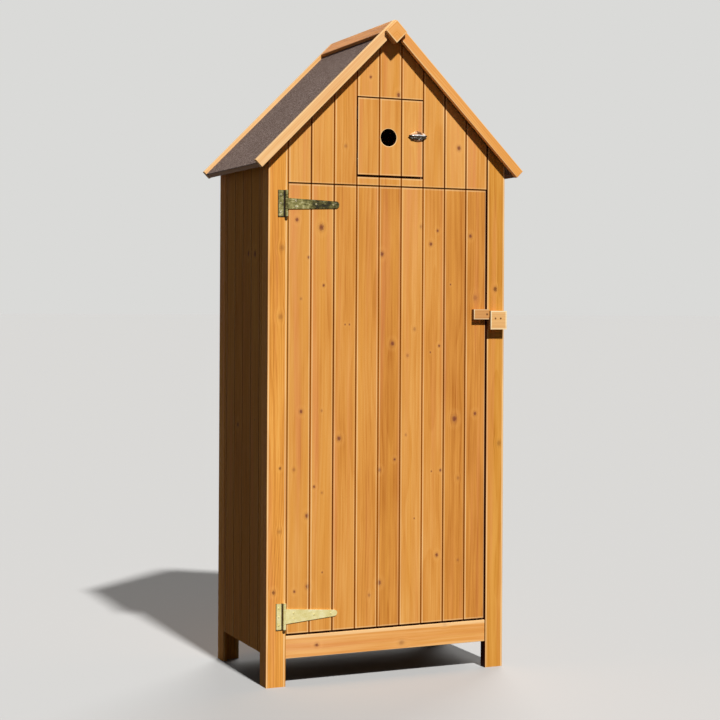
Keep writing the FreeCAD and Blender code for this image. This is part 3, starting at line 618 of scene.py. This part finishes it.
LARGE, MEDIUM, MIDDLING, SMALL, TINY = 0.0072, 0.0056, 0.0046, 0.0034, 0.0020
DOOR_KNOTS = ((-0.263, 1.197, MIDDLING), (-0.195, 1.179, LARGE), (-0.230, 1.101, SMALL),
              (-0.188, 1.029, SMALL), (-0.023, 1.113, MEDIUM), (0.140, 1.178, SMALL),
              (0.120, 1.142, MIDDLING), (0.238, 1.166, MIDDLING), (-0.127, 0.928, TINY),
              (-0.115, 0.928, TINY), (0.009, 0.878, MEDIUM), (0.120, 0.854, TINY), (0.179, 1.035, TINY),
              (0.193, 0.675, LARGE), (0.255, 0.688, MIDDLING), (0.017, 0.572, SMALL), (0.125, 0.537, TINY),
              (0.152, 0.539, SMALL), (-0.228, 0.253, MEDIUM), (-0.265, 0.242, SMALL), (0.146, 0.871, SMALL),
              (-0.249, 0.704, MIDDLING), (-0.143, 0.632, MEDIUM), (-0.028, 0.546, MIDDLING),
              (-0.212, 0.509, SMALL), (-0.231, 0.435, MEDIUM), (0.075, 0.414, TINY),
              (0.142, 0.313, MIDDLING), (-0.188, 0.287, TINY), (-0.026, 0.250, MEDIUM))
FAINT_DOOR_KNOTS = ((-0.251, 0.994, SMALL), (0.091, 1.188, MIDDLING), (0.073, 0.916, MIDDLING),
                    (0.254, 1.000, LARGE), (0.053, 0.846, MIDDLING), (0.049, 0.636, SMALL),
                    (0.205, 0.516, MIDDLING), (-0.192, 0.705, SMALL), (-0.268, 0.555, MIDDLING),
                    (-0.190, 0.493, SMALL), (0.205, 0.296, SMALL), (-0.055, 0.219, MIDDLING))
GABLE_KNOTS = ((-0.058, 1.576, SMALL), (0.023, 1.533, MEDIUM), (0.202, 1.401, MEDIUM))
FAINT_GABLE_KNOTS = ((-0.128, 1.392, MIDDLING),)
POST_KNOTS = ((-0.322, 0.243, MIDDLING), (-0.306, 0.560, SMALL), (0.315, 1.024, MEDIUM))
FAINT_POST_KNOTS = ((-0.303, 1.124, LARGE), (-0.307, 0.948, LARGE), (-0.307, 0.398, MEDIUM),
                    (0.329, 0.606, LARGE))
RAIL_KNOTS = ((0.100, -0.202, MIDDLING),)
FAINT_RAIL_KNOTS = ((0.087, 0.040, LARGE), (0.126, 0.168, MEDIUM))


# Lines of wear and painted highlight, and lines of painted shade beside each gap: axis, place, width and
# strength

def both(*lines):
    """Each line again on the other side of the middle."""
    return [(axis, side * place, width, strength)
            for axis, place, width, strength in lines for side in (-1.0, 1.0)]


door_worn_and_lit = [("along", DOOR_HIGH.z - 0.0030, 0.0022, 0.55), ("along", DOOR_LOW.z + 0.0030, 0.0022, 0.5)]
door_gap_shade = [("along", DOOR_HIGH.z, 0.0013, 0.6), ("along", DOOR_LOW.z, 0.0016, 1.0),
             ("across", OPENING_HALF - 0.0010, 0.0040, 1.0)]
gable_worn_and_lit = [("along", GABLE_FOOT + 0.0028, 0.0018, 0.35)]
gable_gap_shade = [("along", GABLE_FOOT, 0.0011, 0.5)]
sill_worn_and_lit = gable_worn_and_lit + [("along", SILL_TOP - 0.0030, 0.0022, 0.7),
                          ("along", UPPER_FOOT + 0.0025, 0.0018, 0.5)]
sill_gap_shade = gable_gap_shade + [("along", SILL_TOP, 0.0012, 0.95), ("along", UPPER_FOOT, 0.0011, 0.9)]
flap_worn_and_lit = [("along", FLAP_HIGH.z - 0.0028, 0.0020, 0.6), ("along", FLAP_LOW.z + 0.0032, 0.0020, 0.5)]
flap_gap_shade = [("along", FLAP_HIGH.z, 0.0011, 0.9), ("along", FLAP_LOW.z, 0.0014, 0.95),
             ("across", FLAP_LOW.x, 0.0024, 0.9), ("across", FLAP_HIGH.x, 0.0022, 0.9)]
post_worn_and_lit = both(("across", OPENING_HALF + 0.0050, 0.0024, 0.8), ("across", BODY_HALF - 0.0026, 0.0025, 1.0))
post_gap_shade = [("across", OPENING_HALF, 0.0036, 1.0), ("across", -OPENING_HALF, 0.0024, 0.35)]
rail_worn_and_lit = [("across", RAIL_HIGH - 0.0035, 0.0060, 1.0), ("across", RAIL_LOW, 0.0026, 0.5)]
barge_worn_and_lit = [("across", ROOF_TOP, 0.0024, 0.6), ("across", ROOF_TOP - BARGE_WIDTH, 0.0030, 0.8)]
block_worn_and_lit = [("across", BLOCK_LOW.z, 0.0056, 1.0), ("across", BLOCK_HIGH.z, 0.0040, 1.0),
              ("along", BLOCK_LOW.x, 0.0044, 1.0), ("along", BLOCK_HIGH.x, 0.0054, 1.0)]
bar_worn_and_lit = [("across", BAR_LOW.z, 0.0036, 0.9), ("across", BAR_HIGH.z, 0.0022, 0.5),
            ("along", BAR_LOW.x, 0.0036, 1.0)]
ridge_worn_and_lit = [("across", RIDGE_HIGH.z * SLANT, 0.0030, 0.6),
              ("across", RIDGE_LOW.z * SLANT, 0.0040, 0.7),
              ("along", RIDGE_LOW.z * SLANT, 0.0044, 1.0), ("along", RIDGE_HIGH.z * SLANT, 0.0030, 0.6)]

# Covers that split pieces into boards; a wide one leaves a piece whole
POST_COVER = 2.0 * BODY_HALF
RAIL_COVER = 0.2
WIDE_COVER = 0.3
BATTEN_COVER = 0.07
SLAT_COVER = 0.066
gable_look = {"seed": 57.0, "knots": (GABLE_KNOTS, FAINT_GABLE_KNOTS), "seams": True, "tint": 0.2,
              "end_grain_and_shade": 0.9}
post_look = {"cover": POST_COVER, "start": -POST_COVER, "knots": (POST_KNOTS, FAINT_POST_KNOTS),
             "worn_and_lit": post_worn_and_lit, "gap_shade": post_gap_shade, "gloss": 0.05, "grain": 1.5}
slope_look = {"way": "slope", "cover": WIDE_COVER, "start": 0.0}
barge_look = {"face": FRONT - 0.02, "knot_share": 0.1, "worn_and_lit": barge_worn_and_lit, **slope_look}
# Latch pieces get painted shade on their upward faces, and on their sides through the end shade
latch_look = {"way": "rail", "cover": RAIL_COVER, "start": 0.8, "knot_share": 0.05, "bare_and_lit": BARE_AND_HIGHLIT_ARRIS,
              "grain": 0.7, "end_grain_and_shade": 0.85, "painted_top_shade": 0.75}

door_pine = pine("door_boards", ORANGE_STAIN, seed=3.0, knots=(DOOR_KNOTS, FAINT_DOOR_KNOTS), seams=True,
                 worn_and_lit=door_worn_and_lit, gap_shade=door_gap_shade, end_grain_and_shade=0.9)
gable_pine = pine("gable_sides", ORANGE_STAIN, worn_and_lit=gable_worn_and_lit, gap_shade=gable_gap_shade, **gable_look)
sill_pine = pine("gable_middle", ORANGE_STAIN, worn_and_lit=sill_worn_and_lit, gap_shade=sill_gap_shade, **gable_look)
flap_pine = pine("flap_boards", ORANGE_STAIN, seed=71.0, seams=True, knot_share=0.1, tint=0.17,
                 worn_and_lit=flap_worn_and_lit, gap_shade=flap_gap_shade, end_grain_and_shade=0.9, hole=(HOLE_X, HOLE_Z, HOLE_RADIUS))
back_pine = pine("back_boards", ORANGE_STAIN, face=BACK, seed=23.0, seams=True)
side_pine = pine("side_boards", ORANGE_STAIN, "side", start=MIDDLE_Y, face=BODY_HALF, seed=41.0, seams=True,
                 seam_depth=0.3, gloss=0.02)
left_post_pine = pine("left_posts", POST_STAIN, seed=11.0, **post_look)
right_post_pine = pine("right_posts", GOLD_STAIN, seed=13.0, **post_look)
rail_pine = pine("rails", RAIL_STAIN, "rail", cover=RAIL_COVER, start=0.0, seed=17.0,
                 knots=(RAIL_KNOTS, FAINT_RAIL_KNOTS), worn_and_lit=rail_worn_and_lit, tint=0.05, grain=1.2)
left_barge_pine = pine("left_barges", PEACH_STAIN, seed=5.0, **barge_look)
right_barge_pine = pine("right_barges", AMBER_STAIN, seed=7.0, **barge_look)
ridge_block_pine = pine("ridge_block", AMBER_STAIN, face=FRONT - 0.03, seed=9.0, knot_share=0.05, tint=0.15,
                        worn_and_lit=ridge_worn_and_lit, **slope_look)
cap_pine = pine("ridge_boards", CAP_STAIN, "eave", cover=WIDE_COVER, start=1.5, face=0.0, seed=83.0,
                knot_share=0.1, worn_and_lit=[("across", RIDGE_Z, 0.0022, 0.7)])
block_pine = pine("latch_block", BLOCK_STAIN, seed=91.0, worn_and_lit=block_worn_and_lit, tint=0.1, **latch_look)
bar_pine = pine("latch_bar", BAR_STAIN, seed=93.0, worn_and_lit=bar_worn_and_lit, **latch_look)
# Roof boards in the darker tones of painted shade
verge_pine = pine("roof_boards", ROOF_PAINTED_SHADE, "eave", cover=WIDE_COVER, start=1.2, face=0.0, seed=97.0)
inner_up = pine("inner_uprights", BARE_PINE, seed=29.0)
inner_rail = pine("inner_rails", BARE_PINE, "rail", cover=BATTEN_COVER, start=0.0, seed=31.0)
inner_back = pine("inner_battens", BARE_PINE, "eave", cover=BATTEN_COVER, start=0.0, face=0.0, seed=37.0)
shelf_pine = pine("shelf_slats", BARE_PINE, "shelf", cover=SLAT_COVER, start=FRONT + 0.05, face=0.0,
                  seed=43.0)
rafter_pine = pine("rafters", BARE_PINE, seed=47.0, **slope_look)
felt = felt_finish()
olive = ((0.0, rgb(30, 26, 6)), (0.3, rgb(96, 90, 42)), (0.6, rgb(154, 146, 88)), (1.0, rgb(222, 214, 172)))
pale_olive = ((0.0, rgb(90, 80, 46)), (0.4, rgb(170, 160, 118)), (1.0, rgb(232, 224, 196)))
straw = ((0.0, rgb(200, 176, 100)), (0.3, rgb(224, 208, 134)), (0.6, rgb(238, 226, 164)),
         (1.0, rgb(255, 248, 220)))
steel = ((0.0, rgb(120, 112, 92)), (0.5, rgb(180, 174, 156)), (1.0, rgb(222, 218, 204)))
bronzed = ((0.0, rgb(40, 20, 10)), (1.0, rgb(84, 46, 24)))
browned = ((0.0, rgb(104, 64, 26)), (1.0, rgb(176, 118, 60)))
# Painted reflection of the stained wood, for the rose
painted_wood_reflection = ((0.0, rgb(74, 38, 12)), (0.4, rgb(160, 110, 68)), (0.7, rgb(214, 166, 120)),
           (1.0, rgb(244, 216, 180)))


def hinge_painted_shade(plate, dark):
    """Painted shade in the groove beside the barrel and round the outer edges of a hinge plate."""
    low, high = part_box(plate)
    return [("beside", GROOVE_X, 0.0026, 1.0, dark), ("beside", low.x, 0.0022, 0.8, dark),
            ("up", low.z, 0.0024, 0.8, dark), ("up", high.z, 0.0012, 0.5, dark)]


# Hinges with painted shade in the groove and along the plates' edges
olive_zinc = tarnished("olive_zinc", olive, 0.55, 0.5, patch=70.0, fading=(-0.240, -0.212, 0.36),
                       painted_shade_lines=hinge_painted_shade("upper_hinge_plate", rgb(30, 22, 10)))
straw_zinc = tarnished("straw_zinc", straw, 0.5, 0.3, mottle=0.6,
                       painted_shade_lines=hinge_painted_shade("lower_hinge_plate", rgb(58, 40, 10)))
hinge_screws = tarnished("hinge_screws", pale_olive, 0.5, 0.4, patch=200.0, low_stops=straw)
bare_screws = tarnished("bare_screws", steel, 0.35, 1.0, patch=200.0, mottle=0.6)
brown_screws = tarnished("brown_screws", browned, 0.6, 0.2, patch=200.0, mottle=0.6)
bronze = tarnished("bronzed_steel", bronzed, 0.6, 0.6, mottle=0.6)
chrome = chrome_with_painted_reflection()
eye_chrome = eye_finish()
# The rose's patches are painted reflection of the wood
rose_chrome = tarnished("chrome_rose", painted_wood_reflection, 0.3, 0.7, patch=160.0)

dress(door_pine, "door_board_hinge_edge", "door_boards_middle", "door_board_latch_edge")
dress(gable_pine, "gable_boards_left", "gable_boards_right")
dress(sill_pine, "gable_boards_middle")
dress(flap_pine, "flap_board_left", "flap_board_middle", "flap_board_right")
dress(back_pine, "back_boards")
dress(side_pine, "side_boards_left", "side_boards_right")
dress(left_post_pine, "front_post_left", "rear_post_left", "leg_stiles_left")
dress(right_post_pine, "front_post_right", "rear_post_right", "leg_stiles_right")
dress(rail_pine, "bottom_rail_front", "bottom_rail_rear")
dress(left_barge_pine, "front_barge_left", "rear_barges")
dress(right_barge_pine, "front_barge_right")
dress(ridge_block_pine, "ridge_block")
dress(cap_pine, "ridge_cap_left", "ridge_cap_right")
dress(block_pine, "latch_block")
dress(bar_pine, "latch_bar", "latch_runner")
dress(verge_pine, "roof_panel_left", "roof_panel_right")
dress(inner_up, "flap_frame")
dress(inner_rail, "back_battens", "header_rail", "door_ledges", "flap_ledges")
dress(inner_back, "side_battens", "eave_plates")
dress(shelf_pine, "floor_boards", "lower_shelf", "upper_shelf", "loft_shelf")
dress(rafter_pine, "rafters")
dress(felt, "roof_felt")
dress(olive_zinc, "upper_hinge_plate", "upper_hinge_strap")
dress(straw_zinc, "lower_hinge_plate", "lower_hinge_strap")
dress(hinge_screws, "hinge_pins", "hinge_plate_screws", "hinge_strap_screws")
dress(bare_screws, "catch_cam")
dress(brown_screws, "latch_block_screws", "latch_stop_screw")
dress(bronze, "flap_hinge_fixed_leaves", "flap_hinge_moving_leaves")
dress(chrome, "catch_rose", "catch_handle")

ease(FRAME_ARRIS, "front_post_left", "front_post_right", "rear_post_left", "rear_post_right",
     "leg_stiles_left", "leg_stiles_right", "bottom_rail_front", "bottom_rail_rear", "front_barge_left",
     "front_barge_right", "rear_barges", "ridge_block", "ridge_cap_left", "ridge_cap_right", "latch_block",
     "latch_bar")
ease(BOARD_ARRIS, "door_board_hinge_edge", "door_boards_middle", "door_board_latch_edge", "gable_boards_left",
     "gable_boards_right", "gable_boards_middle", "flap_board_left", "flap_board_middle", "flap_board_right",
     "side_boards_left", "side_boards_right", "back_boards")


# Turn catch

QUARTER = math.radians(90.0)
SAME_PLACE = 0.000002
ROSE_BORE = 0.0036
ROSE_PROUD = 0.0030
SHEET = 0.0007


def close_up(piece, smooth_angle, material):
    """Merges what lies together, turns the faces outwards and gives the piece its finish."""
    bpy.ops.mesh.select_all(action="SELECT")
    bpy.ops.mesh.remove_doubles(threshold=SAME_PLACE)
    bpy.ops.mesh.normals_make_consistent(inside=False)
    bpy.ops.object.mode_set(mode="OBJECT")
    bpy.ops.object.shade_smooth_by_angle(angle=math.radians(smooth_angle))
    piece.data.materials.append(material)


def turned(name, axis, middle, stations, filled, material):
    """A ring pushed from station to station along its axis and resized there.

    A station is the place along the axis and the ring's two half widths. A filled piece has ends;
    an open one comes back to its first station and closes on itself.
    """
    way = "XYZ".index(axis)
    turn = {"X": (0.0, QUARTER, 0.0), "Y": (QUARTER, 0.0, 0.0)}[axis]
    centre = list(middle)
    centre[way] = stations[0][0]
    bpy.ops.object.select_all(action="DESELECT")
    bpy.ops.mesh.primitive_circle_add(vertices=40, radius=1.0, fill_type="NGON" if filled else "NOTHING",
                                      location=centre, rotation=turn)
    piece = bpy.context.object
    piece.name = name
    bpy.ops.object.transform_apply(location=True, rotation=True, scale=True)
    bpy.ops.object.mode_set(mode="EDIT")
    bpy.ops.mesh.select_all(action="SELECT")
    last_wide = last_high = 1.0
    for number, (place, wide, high) in enumerate(stations):
        if number:
            step = [0.0, 0.0, 0.0]
            step[way] = place - centre[way]
            bpy.ops.mesh.extrude_region_move(TRANSFORM_OT_translate={"value": step})
            centre[way] = place
        factors = {"X": (1.0, high / last_high, wide / last_wide),
                   "Y": (wide / last_wide, 1.0, high / last_high)}
        bpy.ops.transform.resize(value=factors[axis], center_override=centre)
        last_wide, last_high = wide, high
    close_up(piece, 50.0, material)
    return piece


def catch_rose():
    """Domed oval plate with a rolled rim and a hole for the spindle."""
    middle = (ROSE_LOW + ROSE_HIGH) / 2.0
    half_wide = (ROSE_HIGH.x - ROSE_LOW.x) / 2.0
    half_high = (ROSE_HIGH.z - ROSE_LOW.z) / 2.0
    back = ROSE_HIGH.y
    bored_back = (back, ROSE_BORE, ROSE_BORE)
    stations = [bored_back]
    for proud, share in ((0.0, 1.0), (0.0009, 1.0), (0.0015, 0.985), (0.0019, 0.95), (0.0019, 0.90),
                         (0.0016, 0.85), (0.0019, 0.78), (0.0024, 0.62), (0.0028, 0.45), (ROSE_PROUD, 0.32)):
        stations.append((back - proud, half_wide * share, half_high * share))
    stations += [(back - ROSE_PROUD, ROSE_BORE, ROSE_BORE), bored_back]
    piece = turned("rose", "Y", middle, stations, False, rose_chrome)
    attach(piece, "flap")
    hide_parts("catch_rose")


def eye_plate(back):
    """A disc cut to its top slice, mirrored to an eye and pushed forwards in steps that thin its rim."""
    half_long = (EYE_HIGH.x - EYE_LOW.x) / 2.0
    half_high = (EYE_HIGH.z - EYE_LOW.z) / 2.0
    disc_radius = (half_long * half_long + half_high * half_high) / (2.0 * half_high)
    bpy.ops.object.select_all(action="DESELECT")
    bpy.ops.mesh.primitive_circle_add(vertices=160, radius=disc_radius, fill_type="NGON",
                                      location=(CATCH.x, back, CATCH.z - (disc_radius - half_high)),
                                      rotation=(QUARTER, 0.0, 0.0))
    piece = bpy.context.object
    piece.name = "eye"
    bpy.ops.object.transform_apply(location=True, rotation=True, scale=True)
    bpy.ops.object.mode_set(mode="EDIT")
    bpy.ops.mesh.select_mode(type="FACE")
    bpy.ops.mesh.select_all(action="SELECT")
    bpy.ops.mesh.bisect(plane_co=CATCH, plane_no=(0.0, 0.0, 1.0), clear_inner=True)
    bpy.ops.mesh.select_all(action="SELECT")
    bpy.ops.mesh.duplicate()
    bpy.ops.transform.resize(value=(1.0, 1.0, -1.0), center_override=CATCH)
    bpy.ops.mesh.select_all(action="SELECT")
    bpy.ops.mesh.remove_doubles(threshold=TOUCHING)
    bpy.ops.mesh.normals_make_consistent(inside=False)
    bpy.ops.mesh.dissolve_faces()
    for shrink, rise in ((1.0, SHEET), (0.90, 0.0005), (0.72, 0.0004), (0.45, 0.0003)):
        bpy.ops.mesh.extrude_region_move(TRANSFORM_OT_translate={"value": (0.0, -rise, 0.0)})
        bpy.ops.transform.resize(value=(shrink, 1.0, shrink), center_override=CATCH)
    close_up(piece, 30.0, eye_chrome)
    return piece


def catch_handle():
    """Cross bar, swelling to its middle, on a waisted stem, with the eye plate and the spindle behind it."""
    bar_y = EYE_LOW.y + HANDLE_THICK
    half = ((0.0, 0.0006), (0.0003, 0.0013), (0.0010, 0.0021), (0.0022, 0.0027), (0.0040, 0.0030),
            (0.0065, 0.0029), (0.0110, 0.0029), (0.0150, 0.0034), (0.0180, HANDLE_THICK))
    stations = [(CATCH.x - HANDLE_REACH + inwards, size, size) for inwards, size in half]
    stations += [(CATCH.x + HANDLE_REACH - inwards, size, size) for inwards, size in reversed(half)]
    bar = turned("handle", "X", (CATCH.x, bar_y, CATCH.z), stations, True, chrome)
    stem_back = ROSE_LOW.y - 0.0001
    stem = [(EYE_HIGH.y, 0.0030), (EYE_HIGH.y - 0.0005, 0.0035), (stem_back + 0.0002, 0.0035),
            (stem_back, 0.0045), (stem_back - 0.0006, 0.0045), (stem_back - 0.0010, 0.0038), (bar_y, 0.0032)]
    spindle = turned("spindle", "Y", (CATCH.x, 0.0, CATCH.z), [(y, size, size) for y, size in stem], True,
                     chrome)
    eye = eye_plate(stem_back - 0.0005)
    bpy.ops.object.select_all(action="DESELECT")
    for piece in (spindle, eye, bar):
        piece.select_set(True)
    bpy.context.view_layer.objects.active = bar
    bpy.ops.object.join()
    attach(bar, "catch")
    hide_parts("catch_handle")


catch_rose()
catch_handle()


# Floor, light and camera

LIT_FLOOR = rgb(63, 61, 57)
SEEN_FLOOR = rgb(185, 184, 182)
SEEN_BACKDROP = rgb(218, 218, 216)
FLOOR_SIZE = 300.0
EVEN_LIGHT = 0.06
KEY_TOWARDS = (-0.019, 0.6464, -0.7628)
KEY_STRENGTH = 4.4
KEY_SPREAD = math.radians(3.0)
FILL_TOWARDS = (-0.5, -0.71, -0.5)
FILL_STRENGTH = 2.0
FILL_SPREAD = math.radians(35.0)
PHOTO_YAW, PHOTO_PITCH, PHOTO_ROLL = [math.radians(angle) for angle in (-23.656, -0.094, 0.315)]
PHOTO_STAND = (-1.7606, FRONT - 3.8248, 0.9770)
PHOTO_LENS = 79.95
PHOTO_SHIFT = -0.07175
FILM_WIDTH = 36.0
FARTHEST = 400.0


def add_floor():
    bpy.ops.mesh.primitive_plane_add(size=FLOOR_SIZE)
    floor = bpy.context.object
    floor.name = "floor"
    finish = Finish("pale_floor", roughness=0.9, Specular_IOR_Level=0.0)
    finish.feed("Base Color", finish.blend(finish.seen_share(), LIT_FLOOR, SEEN_FLOOR))
    floor.data.materials.append(finish.material)


def add_sun(name, towards, strength, spread):
    data = bpy.data.lights.new(name, "SUN")
    data.energy = strength
    data.angle = spread
    lamp = bpy.data.objects.new(name, data)
    bpy.context.scene.collection.objects.link(lamp)
    lamp.rotation_euler = Vector(towards).to_track_quat("-Z", "Y").to_euler()


def add_world():
    """A pale backdrop that is seen but gives only a little even light."""
    world = bpy.data.worlds.new("studio")
    world.use_nodes = True
    sky = Tree(world.node_tree)
    light = sky.node("ShaderNodeBackground", {}, {"Color": (1.0, 1.0, 1.0, 1.0), "Strength": EVEN_LIGHT})
    pale = sky.node("ShaderNodeBackground", {}, {"Color": SEEN_BACKDROP, "Strength": 1.0})
    mixed = sky.node("ShaderNodeMixShader", {}, {0: sky.seen_share(), 1: light, 2: pale})
    sky.join(world.node_tree.nodes["World Output"].inputs["Surface"], mixed)
    bpy.context.scene.world = world


def add_camera():
    """The photograph's view: a long lens a little left of the front, with a small tilt of the frame."""
    level = math.cos(PHOTO_PITCH)
    forward = Vector((-math.sin(PHOTO_YAW) * level, math.cos(PHOTO_YAW) * level, math.sin(PHOTO_PITCH)))
    right = forward.cross(Vector((0.0, 0.0, 1.0))).normalized()
    up = right.cross(forward)
    turned_right = right * math.cos(PHOTO_ROLL) + up * math.sin(PHOTO_ROLL)
    turned_up = up * math.cos(PHOTO_ROLL) - right * math.sin(PHOTO_ROLL)
    data = bpy.data.cameras.new("photo_view")
    data.lens = PHOTO_LENS
    data.sensor_width = FILM_WIDTH
    data.shift_y = PHOTO_SHIFT
    data.clip_end = FARTHEST
    camera = bpy.data.objects.new("photo_view", data)
    bpy.context.scene.collection.objects.link(camera)
    turn = Matrix((turned_right, turned_up, -forward)).transposed().to_4x4()
    camera.matrix_world = Matrix.Translation(PHOTO_STAND) @ turn
    bpy.context.scene.camera = camera


add_floor()
add_world()
add_sun("key", KEY_TOWARDS, KEY_STRENGTH, KEY_SPREAD)
add_sun("rear_fill", FILL_TOWARDS, FILL_STRENGTH, FILL_SPREAD)
add_camera()
bpy.context.scene.view_settings.view_transform = "Standard"
